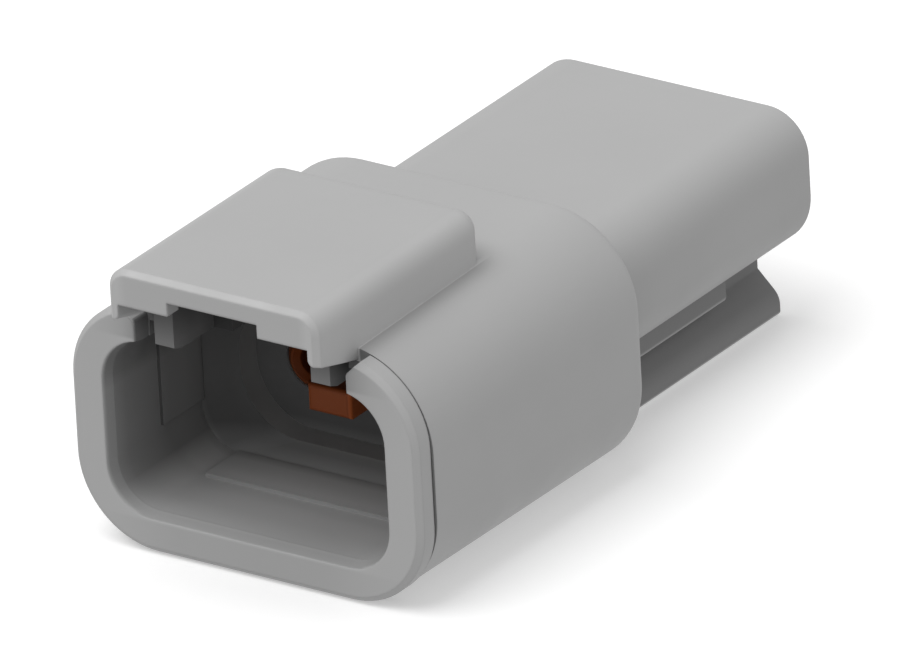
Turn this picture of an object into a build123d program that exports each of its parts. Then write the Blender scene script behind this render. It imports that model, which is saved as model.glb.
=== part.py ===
from build123d import *
import os

# Sealed two-way connector receptacle with a withdrawable wedge lock, in millimetres
# +X runs across the mouth, +Y from the mouth to the wires, +Z up to the latch hood
# The origin is midway between the two contact axes, in the plane of the rim's front face

# Rim round the mouth, open at the top for the latch
rim_width = 24.25
rim_low = -7.65
rim_high = 7.95
rim_corner = 5.35
rim_depth = 1.35
rim_edge = 0.35
rim_gap_half = 7.42
rim_gap_corner = 1.05
rim_gap_edge = 0.35

# Parting groove between the rim and the shroud
groove_width = 0.15
groove_depth = 0.5

# Shroud, which widens slightly to the rear; its floor stays level
shroud_front_width = 24.4
shroud_rear_width = 24.9
shroud_front_top = 8.0
shroud_rear_top = 8.42
base_level = -7.7
shroud_corner = 5.8
shroud_rear_y = 23.05
shroud_rear_edge = 1.1
shroud_gap_y = 1.9

# Mouth and the cavity that takes the mating nose
mouth_width = 19.75
mouth_low = -5.5
mouth_high = 5.75
mouth_corner = 3.0
lead_in_length = 0.85
lead_in_step = 0.2
land_height = 0.2
floor_land_start = 5.95
floor_land_half = 7.25
side_land_start = 5.25
side_land_low = -2.25
side_land_high = 3.2
shoulder_start = 9.4
shoulder_end = 11.0
nose_half_width = 7.95
nose_half_height = 4.4
nose_corner = 4.0
back_wall_y = 12.7

# Latch hood on top, and the tunnel under it
hood_half_width = 7.32
hood_front_y = -2.5
hood_rear_y = 14.6
hood_top = 11.52
hood_edge = 1.35
hood_front_edge = 0.35
hood_root = 6.5
cheek_low = 8.25
cheek_foot_y = 1.5
cheek_foot_level = 7.2
cheek_edge = 0.4
tunnel_half_width = 6.6
tunnel_roof = 10.1
catch_bar = 1.15
catch_bar_low = 9.25
catch_notch_half = 3.13

# Guide ribs hanging in the tunnel
rib_outer = 6.11
rib_inner = 4.78
rib_front_y = 0.28
rib_low = 5.48
rib_lead_in = 0.26
rib_lead_in_length = 0.7
rib_thick_inner = 3.45
rib_thick_y = 4.27

# Rear body round the wires
body_half_width = 9.51
body_top = 5.64
body_bottom = -3.22
body_top_corner = 2.7
body_bottom_corner = 3.65
body_rear_y = 44.95
body_rear_edge = 0.3

# Clip rail under the rear body, with a pad beside its neck
rail_neck_half = 5.65
rail_neck_level = -5.0
rail_half_width = 7.12
rail_flare = 1.1
rail_lip = 0.75
rail_edge = 0.3
rail_end_y = 44.4
pad_half_width = 7.05
pad_level = -4.72
pad_end_y = 39.05
pad_edge = 0.45

# Contact row: cavities that the pins are pushed into from the rear
contact_half_pitch = 3.9
contact_bore = 1.75

# Wedge lock: front plate with two eyes, pull tab and blade
wedge_clearance = 0.1
plate_radius = 1.8
plate_thickness = 1.5
plate_proud = 0.4
plate_edge = 0.45
eye_radius = 0.9
eye_flare = 0.35
tab_half_width = 1.5
tab_half_height = 0.9
tab_length = 3.8
tab_edge = 0.3
blade_half_width = 1.15
blade_half_height = 1.75
blade_length = 9.0
blade_tip = 0.6

# Spring fingers between the blade and the cavities, which hold the contacts
finger_half_height = 1.1
finger_length = 6.0
finger_slit = 0.3

# Wire seal
seal_radius = 2.55
seal_length = 8.5
seal_recess = 0.9
seal_clearance = 0.03
lobe_count = 3
lobe_length = 1.6
lobe_height = 0.3
wire_radius = 1.15
wire_flare = 0.45


# Plane across the connector at a distance y behind the rim's front face
def section(y):
    return Plane.XZ.offset(-y)


# Outline with level top and bottom, and its own corner radius at each
def rounded_outline(half_width, low, high, low_radius, high_radius):
    with BuildSketch() as outline:
        with Locations((0, (low + high) / 2)):
            Rectangle(2 * half_width, high - low)
        fillet(outline.vertices().group_by(Axis.Y)[0], low_radius)
        fillet(outline.vertices().group_by(Axis.Y)[-1], high_radius)
    return outline.sketch


# The same outline drawn in by a margin all round
def inset_outline(margin, half_width, low, high, corner):
    radius = corner - margin
    return rounded_outline(half_width - margin, low + margin, high - margin, radius, radius)


# Slot with its round ends on the two contact axes
def contact_slot(radius):
    with BuildSketch() as slot:
        SlotCenterToCenter(center_separation=2 * contact_half_pitch, height=2 * radius)
    return slot.sketch


# Rectangle between two distances from the middle, repeated on the other side
def side_pair(inner, outer, low, high):
    with BuildSketch() as pair:
        with Locations(((inner + outer) / 2, (low + high) / 2)):
            Rectangle(outer - inner, high - low)
        mirror(about=Plane.YZ)
    return pair.sketch


with BuildPart() as housing:
    # Rim ring with a bevelled front edge
    rim_outline = (rim_width / 2, rim_low, rim_high, rim_corner)
    with BuildSketch(section(0)):
        add(inset_outline(0, *rim_outline))
    extrude(amount=-rim_depth)
    chamfer(housing.edges().group_by(Axis.Y)[0], rim_edge)

    # Neck of the parting groove
    with BuildSketch(section(rim_depth)):
        add(inset_outline(groove_depth, *rim_outline))
    extrude(amount=-groove_width)

    # Shroud skin, drafted from front to rear, with a level base
    shroud_front_y = rim_depth + groove_width
    shroud_front_outline = (shroud_front_width / 2, base_level, shroud_front_top, shroud_corner)
    shroud_rear_outline = (shroud_rear_width / 2, base_level, shroud_rear_top, shroud_corner)
    shroud_skirt = 2 * shroud_rear_edge
    with BuildSketch(section(shroud_front_y)):
        add(inset_outline(0, *shroud_front_outline))
    with BuildSketch(section(shroud_rear_y - shroud_skirt)):
        add(inset_outline(0, *shroud_rear_outline))
    loft(ruled=True)
    with BuildSketch(section(shroud_rear_y - shroud_skirt)):
        add(inset_outline(0, *shroud_rear_outline))
    extrude(amount=-shroud_skirt)
    fillet(housing.edges().group_by(Axis.Y)[-1], shroud_rear_edge)

    # Gap in the rim, its ends cut back at the top
    gap_shoulder = rim_high - rim_gap_corner
    with BuildSketch(section(0)):
        with BuildLine():
            FilletPolyline(
                (0, 0), (rim_gap_half, 0), (rim_gap_half, gap_shoulder),
                (rim_gap_half + rim_gap_corner, rim_high), (rim_gap_half + rim_gap_corner, hood_top),
                (0, hood_top),
                radius=rim_gap_edge,
            )
            mirror(about=Plane.YZ)
        make_face()
    extrude(amount=-shroud_front_y, mode=Mode.SUBTRACT)
    with BuildSketch(section(shroud_front_y)):
        with Locations((0, hood_top / 2)):
            Rectangle(2 * hood_half_width, hood_top)
    extrude(amount=-(shroud_gap_y - shroud_front_y), mode=Mode.SUBTRACT)

    # Rear body
    with BuildSketch(section(body_rear_y)):
        add(rounded_outline(body_half_width, body_bottom, body_top, body_bottom_corner, body_top_corner))
    extrude(amount=body_rear_y - shroud_rear_y + shroud_rear_edge)
    chamfer(housing.edges().group_by(Axis.Y)[-1], body_rear_edge)

    # Clip rail: neck, flare and lip, level with the base
    rail_length = rail_end_y - shroud_rear_y + shroud_rear_edge
    lip_top = base_level + rail_lip
    flare_low = rail_neck_level - rail_flare
    with BuildSketch(section(rail_end_y)):
        with BuildLine():
            Polyline(
                (0, 0), (rail_neck_half, 0), (rail_neck_half, rail_neck_level),
                (rail_neck_half + rail_flare, flare_low),
            )
            TangentArc(
                (rail_neck_half + rail_flare, flare_low), (rail_half_width, lip_top),
                tangent=(1, -1),
            )
            Line((rail_half_width, lip_top), (rail_half_width, base_level + rail_edge))
            TangentArc(
                (rail_half_width, base_level + rail_edge), (rail_half_width - rail_edge, base_level),
                tangent=(0, -1),
            )
            Line((rail_half_width - rail_edge, base_level), (0, base_level))
            mirror(about=Plane.YZ)
        make_face()
    extrude(amount=rail_length)

    # Pad beside the neck, which stops the clip
    pad_length = pad_end_y - shroud_rear_y + shroud_rear_edge
    with BuildSketch(section(pad_end_y)):
        add(rounded_outline(pad_half_width, pad_level, body_bottom + 2 * pad_edge, pad_edge, pad_edge))
    extrude(amount=pad_length)

    # Latch hood: block with cheeks that slope down to the shroud in front
    with BuildSketch(Plane.YZ):
        with BuildLine():
            Polyline(
                (hood_front_y, cheek_low), (cheek_foot_y, cheek_foot_level), (cheek_foot_y, hood_root),
                (hood_rear_y, hood_root), (hood_rear_y, hood_top), (hood_front_y, hood_top),
                close=True,
            )
        make_face()
    extrude(amount=hood_half_width, both=True)
    hood_uprights = housing.edges().filter_by(Axis.Z).filter_by_position(Axis.Z, cheek_low, hood_top)
    fillet(hood_uprights.group_by(Axis.Y)[-1], hood_edge)
    fillet(housing.edges().group_by(Axis.Z)[-1].sort_by(Axis.Y)[1:], hood_edge)
    hood_front = housing.edges().group_by(Axis.Y)[0]
    chamfer(hood_front.filter_by(lambda edge: edge.center().Z > cheek_low), hood_front_edge)

    # Tunnel under the hood, closed in front by the catch bar with its notch
    with BuildSketch(section(hood_front_y + catch_bar)):
        with Locations((0, tunnel_roof / 2)):
            Rectangle(2 * tunnel_half_width, tunnel_roof)
    extrude(amount=-(back_wall_y - hood_front_y - catch_bar), mode=Mode.SUBTRACT)
    with BuildSketch(section(hood_front_y)):
        with Locations((0, catch_bar_low / 2)):
            Rectangle(2 * tunnel_half_width, catch_bar_low)
        with Locations((0, tunnel_roof / 2)):
            Rectangle(2 * catch_notch_half, tunnel_roof)
    extrude(amount=-catch_bar, mode=Mode.SUBTRACT)
    cheek_edges = housing.edges().filter_by_position(Axis.Z, cheek_foot_level, cheek_low)
    cheek_edges = cheek_edges.filter_by_position(Axis.Y, hood_front_y, cheek_foot_y)
    cheek_edges = cheek_edges.filter_by(lambda edge: edge.length > cheek_foot_y)
    fillet(cheek_edges.filter_by(lambda edge: abs(edge.center().X) < hood_half_width), cheek_edge)

    # Mouth with its lead-in, then the cavity, with lands on its floor and sides
    mouth_outline = (mouth_width / 2, mouth_low, mouth_high, mouth_corner)
    cavity_half_width = mouth_width / 2 - lead_in_step
    cavity_floor = mouth_low + lead_in_step
    with BuildSketch(section(0)):
        add(inset_outline(0, *mouth_outline))
    with BuildSketch(section(lead_in_length)):
        add(inset_outline(lead_in_step, *mouth_outline))
    loft(ruled=True, mode=Mode.SUBTRACT)
    with BuildSketch(section(lead_in_length)):
        add(inset_outline(lead_in_step, *mouth_outline))
    extrude(amount=-(shoulder_start - lead_in_length), mode=Mode.SUBTRACT)
    with BuildSketch(section(floor_land_start)):
        with Locations((0, cavity_floor)):
            Rectangle(2 * floor_land_half, 2 * land_height)
    extrude(amount=-(shoulder_start - floor_land_start))
    with BuildSketch(section(side_land_start)):
        add(side_pair(cavity_half_width - land_height, mouth_width / 2, side_land_low, side_land_high))
    extrude(amount=-(shoulder_start - side_land_start))

    # Shoulder down to the smaller seat of the mating nose
    with BuildSketch(section(shoulder_start)):
        add(inset_outline(lead_in_step, *mouth_outline))
    with BuildSketch(section(shoulder_end)):
        RectangleRounded(2 * nose_half_width, 2 * nose_half_height, nose_corner)
    loft(ruled=True, mode=Mode.SUBTRACT)
    with BuildSketch(section(shoulder_end)):
        RectangleRounded(2 * nose_half_width, 2 * nose_half_height, nose_corner)
    extrude(amount=-(back_wall_y - shoulder_end), mode=Mode.SUBTRACT)

    # Guide ribs under the roof, with a lead-in, thicker further in
    with BuildSketch(section(rib_front_y)):
        add(side_pair(rib_inner, rib_outer, rib_low, tunnel_roof))
    extrude(amount=-(back_wall_y - rib_front_y))
    with BuildSketch(section(rib_thick_y)):
        add(side_pair(rib_thick_inner, rib_outer, rib_low, tunnel_roof))
    extrude(amount=-(back_wall_y - rib_thick_y))
    rib_toes = housing.edges().filter_by(Axis.X).filter_by_position(Axis.Y, rib_front_y, rib_front_y)
    chamfer(rib_toes.group_by(Axis.Z)[0], rib_lead_in, rib_lead_in_length)

    # Seat for the wedge lock's plate, slot for its blade, and the contact cavities
    plate_seat_y = back_wall_y + plate_thickness - plate_proud + wedge_clearance
    with BuildSketch(section(back_wall_y)):
        add(contact_slot(plate_radius + wedge_clearance))
    extrude(amount=-(plate_seat_y - back_wall_y), mode=Mode.SUBTRACT)
    with BuildSketch(section(plate_seat_y)):
        Rectangle(2 * (blade_half_width + wedge_clearance), 2 * (blade_half_height + wedge_clearance))
    extrude(amount=-blade_length, mode=Mode.SUBTRACT)
    with BuildSketch(section(plate_seat_y)):
        with Locations((contact_half_pitch, 0), (-contact_half_pitch, 0)):
            Circle(contact_bore)
    extrude(amount=-(body_rear_y - seal_recess - seal_length - plate_seat_y), mode=Mode.SUBTRACT)

    # Slits that free the spring fingers above and below
    with BuildSketch(section(plate_seat_y)):
        with GridLocations(0, 2 * finger_half_height + finger_slit, 1, 2):
            Rectangle(2 * contact_half_pitch, finger_slit)
    extrude(amount=-finger_length, mode=Mode.SUBTRACT)

    # Pocket for the wire seal
    with BuildSketch(section(body_rear_y)):
        add(contact_slot(seal_radius))
    extrude(amount=seal_recess + seal_length, mode=Mode.SUBTRACT)

housing.part.label = "housing"


# Wedge lock, drawn out through the mouth by its tab
with BuildPart() as wedge_lock:
    plate_front_y = back_wall_y - plate_proud
    with BuildSketch(section(plate_front_y)):
        add(contact_slot(plate_radius))
    extrude(amount=-plate_thickness)
    chamfer(wedge_lock.edges().group_by(Axis.Y)[0], plate_edge)
    with BuildSketch(section(plate_front_y)):
        with Locations((contact_half_pitch, 0), (-contact_half_pitch, 0)):
            Circle(eye_radius)
    extrude(amount=-plate_thickness, mode=Mode.SUBTRACT)
    front_arcs = wedge_lock.edges().filter_by(GeomType.CIRCLE).group_by(Axis.Y)[0]
    chamfer(front_arcs.filter_by(lambda edge: edge.radius < eye_radius + eye_flare), eye_flare)

    with BuildSketch(section(plate_front_y - tab_length)):
        Rectangle(2 * tab_half_width, 2 * tab_half_height)
    extrude(amount=-tab_length)
    fillet(wedge_lock.edges().group_by(Axis.Y)[0], tab_edge)

    with BuildSketch(section(plate_front_y + plate_thickness)):
        Rectangle(2 * blade_half_width, 2 * blade_half_height)
    extrude(amount=-(blade_length - wedge_clearance))
    chamfer(wedge_lock.edges().group_by(Axis.Y)[-1], blade_tip)

wedge_lock.part.label = "wedge_lock"


# Wire seal, with lobes that press on its pocket
with BuildPart() as wire_seal:
    seal_rear_y = body_rear_y - seal_recess
    lobe_radius = seal_radius - seal_clearance
    lobe_pitch = (seal_length - lobe_length) / (lobe_count - 1)
    lobe_middles = [seal_rear_y - lobe_length / 2 - index * lobe_pitch for index in range(lobe_count)]
    with BuildSketch(section(seal_rear_y)):
        add(contact_slot(lobe_radius - lobe_height))
    extrude(amount=seal_length)
    for lobe_y in lobe_middles:
        with BuildSketch(section(lobe_y)):
            add(contact_slot(lobe_radius))
        extrude(amount=lobe_length / 2, both=True)

    # Wire holes, flared at the rear
    with BuildSketch(section(seal_rear_y)):
        with Locations((contact_half_pitch, 0), (-contact_half_pitch, 0)):
            Circle(wire_radius)
    extrude(amount=seal_length, mode=Mode.SUBTRACT)
    rear_arcs = wire_seal.edges().filter_by(GeomType.CIRCLE).group_by(Axis.Y)[-1]
    chamfer(rear_arcs.filter_by(lambda edge: edge.radius < wire_radius + wire_flare), wire_flare)

wire_seal.part.label = "wire_seal"


os.makedirs("parts", exist_ok=True)
for piece in (housing, wedge_lock, wire_seal):
    export_step(piece.part, f"parts/{piece.part.label}.step")
    print(piece.part.label, round(piece.part.volume, 1), piece.part.is_valid, len(piece.part.solids()))
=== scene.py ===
import math

import bpy
from mathutils import Matrix, Vector


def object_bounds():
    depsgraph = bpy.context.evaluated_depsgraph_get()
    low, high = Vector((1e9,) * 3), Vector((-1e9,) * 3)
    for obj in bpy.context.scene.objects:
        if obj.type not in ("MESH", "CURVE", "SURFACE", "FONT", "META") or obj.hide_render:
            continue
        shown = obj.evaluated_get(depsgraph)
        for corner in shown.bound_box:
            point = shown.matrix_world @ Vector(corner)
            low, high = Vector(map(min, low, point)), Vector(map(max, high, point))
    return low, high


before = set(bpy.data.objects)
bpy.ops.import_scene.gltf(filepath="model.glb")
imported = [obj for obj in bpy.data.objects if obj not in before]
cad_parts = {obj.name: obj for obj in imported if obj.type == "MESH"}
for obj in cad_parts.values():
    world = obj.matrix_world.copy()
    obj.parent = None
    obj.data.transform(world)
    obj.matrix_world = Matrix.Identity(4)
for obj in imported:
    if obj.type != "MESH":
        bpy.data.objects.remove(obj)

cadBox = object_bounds()  # the part's bounds, straight from the imported model
print("frame loaded:", sorted(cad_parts))

mm = 0.001  # metres in a millimetre


# small helpers for node trees

def newMaterial(name):
    material = bpy.data.materials.new(name)
    material.use_nodes = True
    material.node_tree.nodes.clear()
    return material, material.node_tree


def addNode(tree, kind, **settings):
    node = tree.nodes.new(kind)
    for key, value in settings.items():
        setattr(node, key, value)
    return node


def plug(tree, value, socket):
    # a socket takes another node's output or a plain value
    if isinstance(value, Signal):
        value = value.socket
    if isinstance(value, bpy.types.NodeSocket):
        tree.links.new(value, socket)
    else:
        socket.default_value = value


def layOut(tree):
    # columns from the output back to the inputs; every node is made after the ones it takes from
    columnWidth, rowHeight = 250, 220
    columns, rows = {}, {}
    for node in reversed(list(tree.nodes)):
        if node.outputs and not any(socket.is_linked for socket in node.outputs):
            tree.nodes.remove(node)  # a measure that nothing takes
            continue
        column = columns.setdefault(node.name, 0)
        feeds = [socket.links[0].from_node.name for socket in node.inputs if socket.is_linked]
        for feed in feeds:
            columns[feed] = max(columns.get(feed, 0), column + 1)
        rows[column] = rows.get(column, 0) + 1
        node.location = (-columnWidth * column, -rowHeight * rows[column])


class Signal:
    # one number that varies over a surface, so that node maths reads as plain sums
    def __init__(self, tree, socket):
        self.tree, self.socket = tree, socket

    def combine(self, operation, first, second):
        maths = addNode(self.tree, "ShaderNodeMath", operation=operation)
        for socket, value in zip(maths.inputs, (first, second)):
            plug(self.tree, value, socket)
        return Signal(self.tree, maths.outputs["Value"])

    def __add__(self, other):
        return self.combine("ADD", self, other)

    def __sub__(self, other):
        return self.combine("SUBTRACT", self, other)

    def __rsub__(self, other):
        return self.combine("SUBTRACT", other, self)

    def __mul__(self, other):
        return self.combine("MULTIPLY", self, other)

    def __truediv__(self, other):
        return self.combine("DIVIDE", self, other)

    def __abs__(self):
        return self.combine("ABSOLUTE", self, 0)

    def atMost(self, other):
        return self.combine("MINIMUM", self, other)

    def ramp(self, fromLow, fromHigh, toLow=0, toHigh=1):
        ranged = addNode(self.tree, "ShaderNodeMapRange")
        plug(self.tree, self, ranged.inputs["Value"])
        limits = {"From Min": fromLow, "From Max": fromHigh, "To Min": toLow, "To Max": toHigh}
        for socket, value in limits.items():
            plug(self.tree, value, ranged.inputs[socket])
        return Signal(self.tree, ranged.outputs["Result"])

    def falloff(self, stops):
        # a brightness read off a few stops along this measure
        first, last = stops[0][0], stops[-1][0]
        along = self.ramp(first, last)
        band = addNode(self.tree, "ShaderNodeValToRGB")
        elements = band.color_ramp.elements
        while len(elements) < len(stops):
            elements.new(1)
        for element, (place, value) in zip(elements, stops):
            element.position = (place - first) / (last - first)
            element.color = (value, value, value, 1)
        plug(self.tree, along, band.inputs["Fac"])
        return Signal(self.tree, band.outputs["Color"])

    def towards(self, other, amount):
        return self + (other - self) * amount

    def shaded(self, factor, mask):
        # times the factor where the mask is full, and left alone where it is empty
        return self * (mask * (factor - 1) + 1)


def noiseAt(tree, coordinates, featureSize, detail):
    noise = addNode(tree, "ShaderNodeTexNoise")
    plug(tree, 1 / featureSize, noise.inputs["Scale"])
    plug(tree, detail, noise.inputs["Detail"])
    plug(tree, coordinates, noise.inputs["Vector"])
    return Signal(tree, noise.outputs["Fac"])


def spread(noise, low, high):
    usualLow, usualHigh = 0.3, 0.7  # a noise seldom leaves this band
    return noise.ramp(usualLow, usualHigh, low, high)


# painted shade and light by place: a patch is a painted brightness and the limits that close it in

def findMeasures(tree, place):
    # where a point lies, in millimetres from the origin, and which way its surface faces
    geometry = addNode(tree, "ShaderNodeNewGeometry")
    at, facing = (addNode(tree, "ShaderNodeSeparateXYZ") for _ in range(2))
    plug(tree, place, at.inputs["Vector"])
    plug(tree, geometry.outputs["Normal"], facing.inputs["Vector"])
    x, y, z = (Signal(tree, at.outputs[axis]) / mm for axis in "XYZ")
    sideways, rearward, upward = (Signal(tree, facing.outputs[axis]) for axis in "XYZ")
    return {
        "across": abs(x), "deep": y, "high": z,
        "sideways": abs(sideways), "endways": abs(rearward), "rearward": rearward, "upward": upward,
    }


def maskFor(measures, limits):
    # each limit names a measure, where it gives nothing and where it gives all
    mask = None
    for measure, nothingAt, allAt in limits:
        edge = measures[measure].ramp(nothingAt, allAt)
        mask = edge if mask is None else mask * edge
    return mask


def shadeOf(measures, patch):
    # a patch's brightness is one number, or a measure and its stops
    if isinstance(patch["shade"], tuple):
        measure, stops = patch["shade"]
        return measures[measure].falloff(stops)
    return patch["shade"]


def applyPatches(shade, measures, patches):
    for patch in patches.values():
        shade = shade.shaded(shadeOf(measures, patch), maskFor(measures, patch["limits"]))
    return shade


# one moulded plastic or rubber, worked out from a piece's own dictionary

plainDetail, polishDetail = 2.0, 3.0  # octaves of the noises
edgeSamples = 6


def mouldedMaterial(name, look, findShade=None):
    material, tree = newMaterial(name)
    place = addNode(tree, "ShaderNodeTexCoord").outputs["Object"]
    inputs = {"IOR": look["ior"]}

    # the colour drifts a little over the moulding, as pigment does in the flow
    flow = noiseAt(tree, place, look["flowSize"], plainDetail)
    drift = spread(flow, 1 - look["flowDepth"], 1 + look["flowDepth"])
    tint = addNode(tree, "ShaderNodeHueSaturation")
    plug(tree, (*look["colour"], 1), tint.inputs["Color"])
    plug(tree, drift, tint.inputs["Value"])
    inputs["Base Color"] = tint.outputs["Color"]
    edgeRadius = look["edgeRadius"]
    # painted shade and light: the colour is scaled by the piece's brightness by place
    if findShade:
        shade, edgeRadius = findShade(tree, place, look)
        shaded = addNode(tree, "ShaderNodeVectorMath", operation="SCALE")
        plug(tree, inputs["Base Color"], shaded.inputs["Vector"])
        plug(tree, shade, shaded.inputs["Scale"])
        inputs["Base Color"] = shaded.outputs["Vector"]
        inputs["Specular IOR Level"] = shade * look["specular"]  # the painted shade dims the sheen as well as the colour

    # the polish of the mould is uneven
    polish = noiseAt(tree, place, look["polishSize"], polishDetail)
    inputs["Roughness"] = spread(polish, *look["roughness"])

    # fine spark grain over softened edges
    edge = addNode(tree, "ShaderNodeBevel", samples=edgeSamples)
    plug(tree, edgeRadius, edge.inputs["Radius"])
    grain = noiseAt(tree, place, look["grainSize"], plainDetail)
    relief = addNode(tree, "ShaderNodeBump")
    plug(tree, look["grainStrength"], relief.inputs["Strength"])
    plug(tree, look["grainDepth"], relief.inputs["Distance"])
    plug(tree, grain, relief.inputs["Height"])
    plug(tree, edge.outputs["Normal"], relief.inputs["Normal"])
    inputs["Normal"] = relief.outputs["Normal"]

    shader = addNode(tree, "ShaderNodeBsdfPrincipled")
    for socket, value in inputs.items():
        plug(tree, value, shader.inputs[socket])
    plug(tree, shader.outputs["BSDF"], addNode(tree, "ShaderNodeOutputMaterial").inputs["Surface"])
    layOut(tree)
    return material


def dress(nodeName, material):
    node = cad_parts[nodeName]
    node.data.materials.clear()
    node.data.materials.append(material)
    return node


# grey housing

# limits that more than one patch has, in millimetres: where a patch gives nothing and where it gives all
hoodLimits = (("high", 7.2, 7.5), ("deep", 15.1, 13.3))  # the hood, and the shroud's top beside it
grooveLimits = (("deep", 1.335, 1.355), ("deep", 1.535, 1.515))  # the parting groove behind the rim
rimLimit = ("deep", 1.55, 1.35)
belowGap = ("high", 5.95, 5.75)
aboveMouth = ("high", 5.75, 5.95)
beyondHood = ("across", 7.42, 7.48)

housingLook = {
    "colour": (0.41, 0.41, 0.41),
    "ior": 1.46,
    "specular": 0.5,
    "flowSize": 9 * mm,
    "flowDepth": 0.012,
    "polishSize": 2.5 * mm,
    "roughness": (0.50, 0.60),
    "grainSize": 0.12 * mm,
    "grainStrength": 0.12,
    "grainDepth": 0.012 * mm,
    "edgeRadius": 0.22 * mm,
    "insideEdgeRadius": 0.04 * mm,
    # half widths of the mouth, of the gap over it and of the latch tunnel, and where they change
    "mouthHalfWidth": 9.95,
    "gapHalfWidth": 7.60,
    "tunnelHalfWidth": 7.00,
    "gapFoot": (5.80, 5.90),
    "tunnelFoot": (7.05, 7.15),
    "insideEdge": 0.04,
    "insideLimits": (
        ("high", -5.65, -5.59), ("high", 10.50, 10.40), ("deep", 0.06, 0.26), ("deep", 14.1, 13.9),
    ),
    # painted brightness inside, for shade and light: walls by depth and height, floors by depth, and what
    # stands at the back by height
    "wallByDepth": (
        (0, 0.74), (0.7, 0.70), (1.2, 0.65), (2, 0.565), (3, 0.55),
        (4.5, 0.53), (6, 0.48), (7.5, 0.52), (9, 0.50),
    ),
    "wallByHeight": ((2, 1.0), (2.8, 0.83), (4, 0.67), (6, 0.67), (6.8, 0.53), (7.5, 0.42), (8.5, 0.33)),
    "floorByDepth": (
        (0, 0.88), (0.6, 0.84), (1.1, 0.97), (3, 1.0), (4.5, 1.12),
        (6, 1.16), (6.6, 1.26), (8.6, 1.26), (9.5, 0.87), (10.5, 0.55),
    ),
    "backByHeight": ((-5.1, 0.46), (-4.4, 0.37), (-3.7, 0.24), (-1, 0.26), (2, 0.23), (5, 0.20)),
    "backLimit": ("deep", 9.0, 9.6),
    "floorLimit": ("upward", 0.55, 0.95),
    # painted light on the steps' front faces near the floor, painted shade on them higher up, and painted
    # shade in the hollow
    "wallPatches": {
        "steps": {
            "shade": ("high", ((-4.3, 1.7), (-4.1, 0.4))),
            "limits": (("rearward", -0.6, -0.9), ("deep", 2.8, 3.2), ("deep", 9.6, 9.0)),
        },
        "hollow": {"shade": 0.8, "limits": (("deep", 2.9, 3.9), ("high", 1.9, 3.3))},
    },
    # painted light on the back's side-facing faces and at its deepest
    "backPatches": {
        "sides": {"shade": 1.5, "limits": (("endways", 0.8, 0.3),)},
        "deepest": {"shade": 1.25, "limits": (("deep", 10.5, 12.4),)},
    },
    # painted light on the wall round the seat
    "recessPatches": {
        "seat": {"shade": 1.5, "limits": (("deep", 10.8, 11.0), ("endways", 0.6, 0.3))},
    },
    # painted brightness outside, mostly shade: the clip rail in the body's shade, the hood, the rear body,
    # the rim and its groove
    "outerPatches": {
        # painted shadow on the clip rail under the body
        "rail": {
            "shade": 0.47,
            "limits": (
                ("deep", 23.05, 23.15), ("high", -3.2, -3.3), ("sideways", 0.2, 0.5), ("upward", -0.7, -0.1),
            ),
        },
        # painted light on the hood's sides and painted shade on the shroud's top at the hood's foot
        "besideHood": {
            "shade": ("across", (
                (6.0, 1.0), (6.6, 1.1), (7.38, 1.1), (7.42, 0.84), (7.9, 0.88), (8.4, 0.97), (8.9, 1.0),
            )),
            "limits": hoodLimits,
        },
        # painted shade at the foot of the hood's sides and painted light higher up them
        "upHood": {
            "shade": ("high", ((7.3, 0.95), (7.6, 1.06), (8.0, 1.10), (8.5, 1.05), (9.1, 1.0))),
            "limits": (*hoodLimits, ("deep", 1.05, 1.85), ("across", 7.05, 7.15), ("across", 7.41, 7.39)),
        },
        # painted shade on the body's sides just behind the shroud
        "alongBody": {
            "shade": ("deep", (
                (23.0, 0.90), (25.5, 0.93), (28.5, 0.945), (31.5, 0.96), (34.5, 0.985), (38.0, 1.0),
            )),
            "limits": (
                ("deep", 23.05, 23.15), ("sideways", 0.6, 0.9), ("high", -3.35, -3.15), ("high", 3.5, 2.3),
            ),
        },
        # painted shade on the rim's face below the mouth
        "rimBelow": {
            "shade": ("across", ((0, 0.87), (5, 0.88), (8, 0.94), (11, 1.0))),
            "limits": (rimLimit, ("high", -5.52, -5.72)),
        },
        # painted shade on the rim's face beside the gap over the mouth
        "rimBeside": {
            "shade": ("across", ((7.4, 0.72), (8.2, 0.85), (9.2, 0.94), (10.5, 1.0))),
            "limits": (rimLimit, aboveMouth, beyondHood, ("rearward", -0.85, -0.95)),
        },
        # painted shade in the parting groove
        "grooveBelow": {"shade": 0.55, "limits": (*grooveLimits, belowGap)},
        "grooveAbove": {"shade": 0.55, "limits": (*grooveLimits, aboveMouth, beyondHood)},
        # painted shade along the mouth's lower inner edge, dimming its highlight
        "lip": {
            "shade": 0.84,
            "limits": (("deep", 0.55, 0.35), ("high", -5.27, -5.37), ("upward", 0.1, 0.35)),
        },
    },
    "footLimits": (*hoodLimits, ("across", 7.15, 7.25), ("high", 8.15, 7.75)),  # a crisp corner
}


def insideMask(measures, look):
    # half the width of the open space at each height: mouth, gap in the rim, latch tunnel
    high, narrowing = measures["high"], look["gapHalfWidth"] - look["tunnelHalfWidth"]
    halfWidth = high.ramp(*look["gapFoot"], look["mouthHalfWidth"], look["gapHalfWidth"])
    halfWidth = halfWidth - high.ramp(*look["tunnelFoot"], 0, narrowing)
    edge = look["insideEdge"]
    return (halfWidth - measures["across"]).ramp(-edge, edge) * maskFor(measures, look["insideLimits"])


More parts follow.
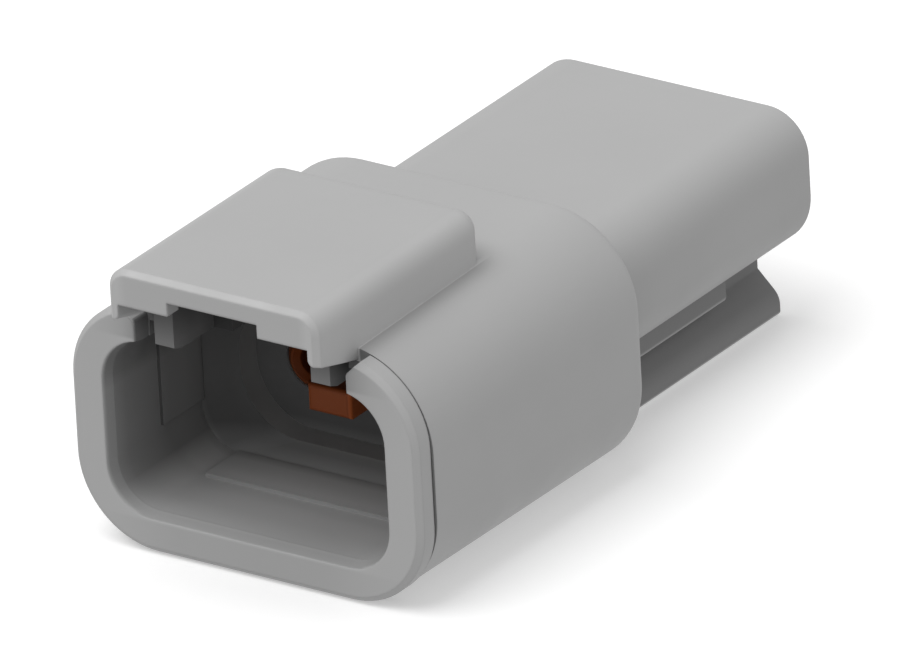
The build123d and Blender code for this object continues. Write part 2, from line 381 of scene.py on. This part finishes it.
def recessShade(measures, look):
    # painted shade and light in the mouth: walls, then what stands at the back, then floors over both
    deep, high = measures["deep"], measures["high"]
    wall = deep.falloff(look["wallByDepth"]) * high.falloff(look["wallByHeight"])
    wall = applyPatches(wall, measures, look["wallPatches"])
    back = applyPatches(high.falloff(look["backByHeight"]), measures, look["backPatches"])
    recess = wall.towards(back, maskFor(measures, (look["backLimit"],)))
    recess = recess.towards(deep.falloff(look["floorByDepth"]), maskFor(measures, (look["floorLimit"],)))
    return applyPatches(recess, measures, look["recessPatches"])


def housingShade(tree, place, look):
    # painted shade: the mouth falls off into the dark, and the faces outside have their own soft painted
    # shade and light
    measures = findMeasures(tree, place)
    inside = insideMask(measures, look)
    outside = 1 - inside
    shade = inside * (recessShade(measures, look) - 1) + 1
    for patch in look["outerPatches"].values():
        shade = shade.shaded(shadeOf(measures, patch), maskFor(measures, patch["limits"]) * outside)
    crisp = look["insideEdgeRadius"] - look["edgeRadius"]
    foot = maskFor(measures, look["footLimits"]) * outside
    return shade, (foot + inside).atMost(1) * crisp + look["edgeRadius"]


housing = dress("housing", mouldedMaterial("greyHousingPlastic", housingLook, housingShade))
print("housing dressed")


# orange wedge lock

wedgeLook = {
    "colour": (0.58, 0.135, 0.032),
    "ior": 1.48,
    "specular": 0.5,
    "flowSize": 4 * mm,
    "flowDepth": 0.03,
    "polishSize": 1.5 * mm,
    "roughness": (0.42, 0.52),
    "grainSize": 0.10 * mm,
    "grainStrength": 0.10,
    "grainDepth": 0.010 * mm,
    "edgeRadius": 0.12 * mm,
    # painted shade by how open the surroundings are, and painted light on the pull tab's sides
    "openReach": 30 * mm,
    "openSamples": 8,
    "openStops": ((0.0, 0.22), (0.3, 0.30), (0.55, 0.42), (0.95, 0.95)),
    "patches": {
        "tabSides": {"shade": 3.2, "limits": (("deep", 12.25, 11.95), ("sideways", 0.4, 0.9))},
    },
    "mostShade": 1.1,
}


def wedgeShade(tree, place, look):
    # painted shade: the orange is dim down in the mouth and bright once it is drawn out
    openness = addNode(tree, "ShaderNodeAmbientOcclusion", samples=look["openSamples"])
    plug(tree, look["openReach"], openness.inputs["Distance"])
    shade = Signal(tree, openness.outputs["AO"]).falloff(look["openStops"])
    shade = applyPatches(shade, findMeasures(tree, place), look["patches"])
    return shade.atMost(look["mostShade"]), look["edgeRadius"]


wedgeLock = dress("wedge_lock", mouldedMaterial("orangeWedgePlastic", wedgeLook, wedgeShade))
print("wedge lock dressed")


# wire seal

sealLook = {
    "colour": (0.10, 0.10, 0.11),
    "ior": 1.41,
    "flowSize": 3 * mm,
    "flowDepth": 0.05,
    "polishSize": 1 * mm,
    "roughness": (0.45, 0.60),
    "grainSize": 0.08 * mm,
    "grainStrength": 0.15,
    "grainDepth": 0.010 * mm,
    "edgeRadius": 0.12 * mm,
}
wireSeal = dress("wire_seal", mouldedMaterial("siliconeSeal", sealLook))
print("wire seal dressed")


# floor, just under the housing so that the two faces don't fight

floorLook = {
    "colour": (0.90, 0.90, 0.90),
    "glow": 0.215,
    "halfSize": 3.0,
    "gap": 0.02 * mm,
}


def makeFloor(look):
    size, level = look["halfSize"], cadBox[0].z - look["gap"]
    corners = [(-size, -size, level), (size, -size, level), (size, size, level), (-size, size, level)]
    mesh = bpy.data.meshes.new("floor")
    mesh.from_pydata(corners, [], [(0, 1, 2, 3)])
    floor = bpy.data.objects.new("floor", mesh)
    bpy.context.scene.collection.objects.link(floor)
    material, tree = newMaterial("paleFloor")
    paper = addNode(tree, "ShaderNodeBsdfDiffuse")
    plug(tree, (*look["colour"], 1), paper.inputs["Color"])
    glow = addNode(tree, "ShaderNodeEmission")
    plug(tree, look["glow"], glow.inputs["Strength"])
    lit = addNode(tree, "ShaderNodeAddShader")
    plug(tree, paper.outputs["BSDF"], lit.inputs[0])
    plug(tree, glow.outputs["Emission"], lit.inputs[1])
    plug(tree, lit.outputs["Shader"], addNode(tree, "ShaderNodeOutputMaterial").inputs["Surface"])
    layOut(tree)
    mesh.materials.append(material)
    # the sheet takes shadows but hides none of the room's light from the part's underside
    floor.visible_diffuse = floor.visible_glossy = floor.visible_shadow = False


makeFloor(floorLook)
print("floor made")


# soft studio light: a pale room, a broad lamp above and in front of the part, and a small one for sheen

lightLook = {
    "roomColour": (1, 1, 1),
    "roomStrength": 0.65,
    "backdropStrength": 1.0,
    "keyEnergy": 1.48,
    "keyAzimuth": -34.0,
    "keyElevation": 68.0,
    "keyAngle": 50.0,
    "glossEnergy": 1.8,
    "glossAzimuth": -51.0,
    "glossElevation": 48.0,
    "glossAngle": 12.0,
}


def directionOf(azimuth, elevation):
    # from the part towards a lamp or the camera: degrees round from the front, and degrees up
    azimuth, elevation = math.radians(azimuth), math.radians(elevation)
    reach = math.cos(elevation)
    return Vector((math.sin(azimuth) * reach, -math.cos(azimuth) * reach, math.sin(elevation)))


def makeRoom(look):
    world = bpy.data.worlds.new("studio")
    bpy.context.scene.world = world
    world.use_nodes = True
    tree = world.node_tree
    tree.nodes.clear()
    seen = addNode(tree, "ShaderNodeLightPath")
    room, backdrop = (addNode(tree, "ShaderNodeBackground") for _ in range(2))
    for shader, strength in ((room, look["roomStrength"]), (backdrop, look["backdropStrength"])):
        plug(tree, strength, shader.inputs["Strength"])
        plug(tree, (*look["roomColour"], 1), shader.inputs["Color"])
    choice = addNode(tree, "ShaderNodeMixShader")
    plug(tree, seen.outputs["Is Camera Ray"], choice.inputs["Fac"])
    plug(tree, room.outputs["Background"], choice.inputs[1])
    plug(tree, backdrop.outputs["Background"], choice.inputs[2])
    plug(tree, choice.outputs["Shader"], addNode(tree, "ShaderNodeOutputWorld").inputs["Surface"])
    layOut(tree)


def makeLamp(look, name):
    lamp = bpy.data.lights.new(name, "SUN")
    lamp.energy = look[name + "Energy"]
    lamp.angle = math.radians(look[name + "Angle"])
    holder = bpy.data.objects.new(name, lamp)
    towards = directionOf(look[name + "Azimuth"], look[name + "Elevation"])
    holder.rotation_mode = "QUATERNION"
    holder.rotation_quaternion = towards.to_track_quat("Z", "Y")
    bpy.context.scene.collection.objects.link(holder)
    return holder


makeRoom(lightLook)
makeLamp(lightLook, "key")
glossLamp = makeLamp(lightLook, "gloss")
glossLamp.visible_diffuse = False  # only draws the sheen along the hood's front edge
print("lights made")


# camera at the photograph's angle, far off with a long lens

cameraLook = {
    "azimuth": 35.443,
    "elevation": 24.870,
    "roll": -3.138,
    "aim": (8.358 * mm, 9.198 * mm, 5.770 * mm),
    "distance": 1.757,
    "lens": 1221.9,
    "sensor": 36.0,
    "clip": (0.1, 20),
}


def makeCamera(look):
    back = directionOf(look["azimuth"], look["elevation"])
    azimuth = math.radians(look["azimuth"])
    level = Vector((math.cos(azimuth), math.sin(azimuth), 0))
    right = Matrix.Rotation(math.radians(look["roll"]), 3, back) @ level
    upward = back.cross(right)
    data = bpy.data.cameras.new("camera")
    data.lens = look["lens"]
    data.sensor_width = look["sensor"]
    data.clip_start, data.clip_end = look["clip"]
    camera = bpy.data.objects.new("camera", data)
    rotation = Matrix((right, upward, back)).transposed()
    place = Vector(look["aim"]) + back * look["distance"]
    camera.matrix_world = Matrix.Translation(place) @ rotation.to_4x4()
    bpy.context.scene.collection.objects.link(camera)
    bpy.context.scene.camera = camera


makeCamera(cameraLook)
bpy.context.scene.view_settings.view_transform = "Standard"
print("camera made")


# end of the scene

print("scene built")
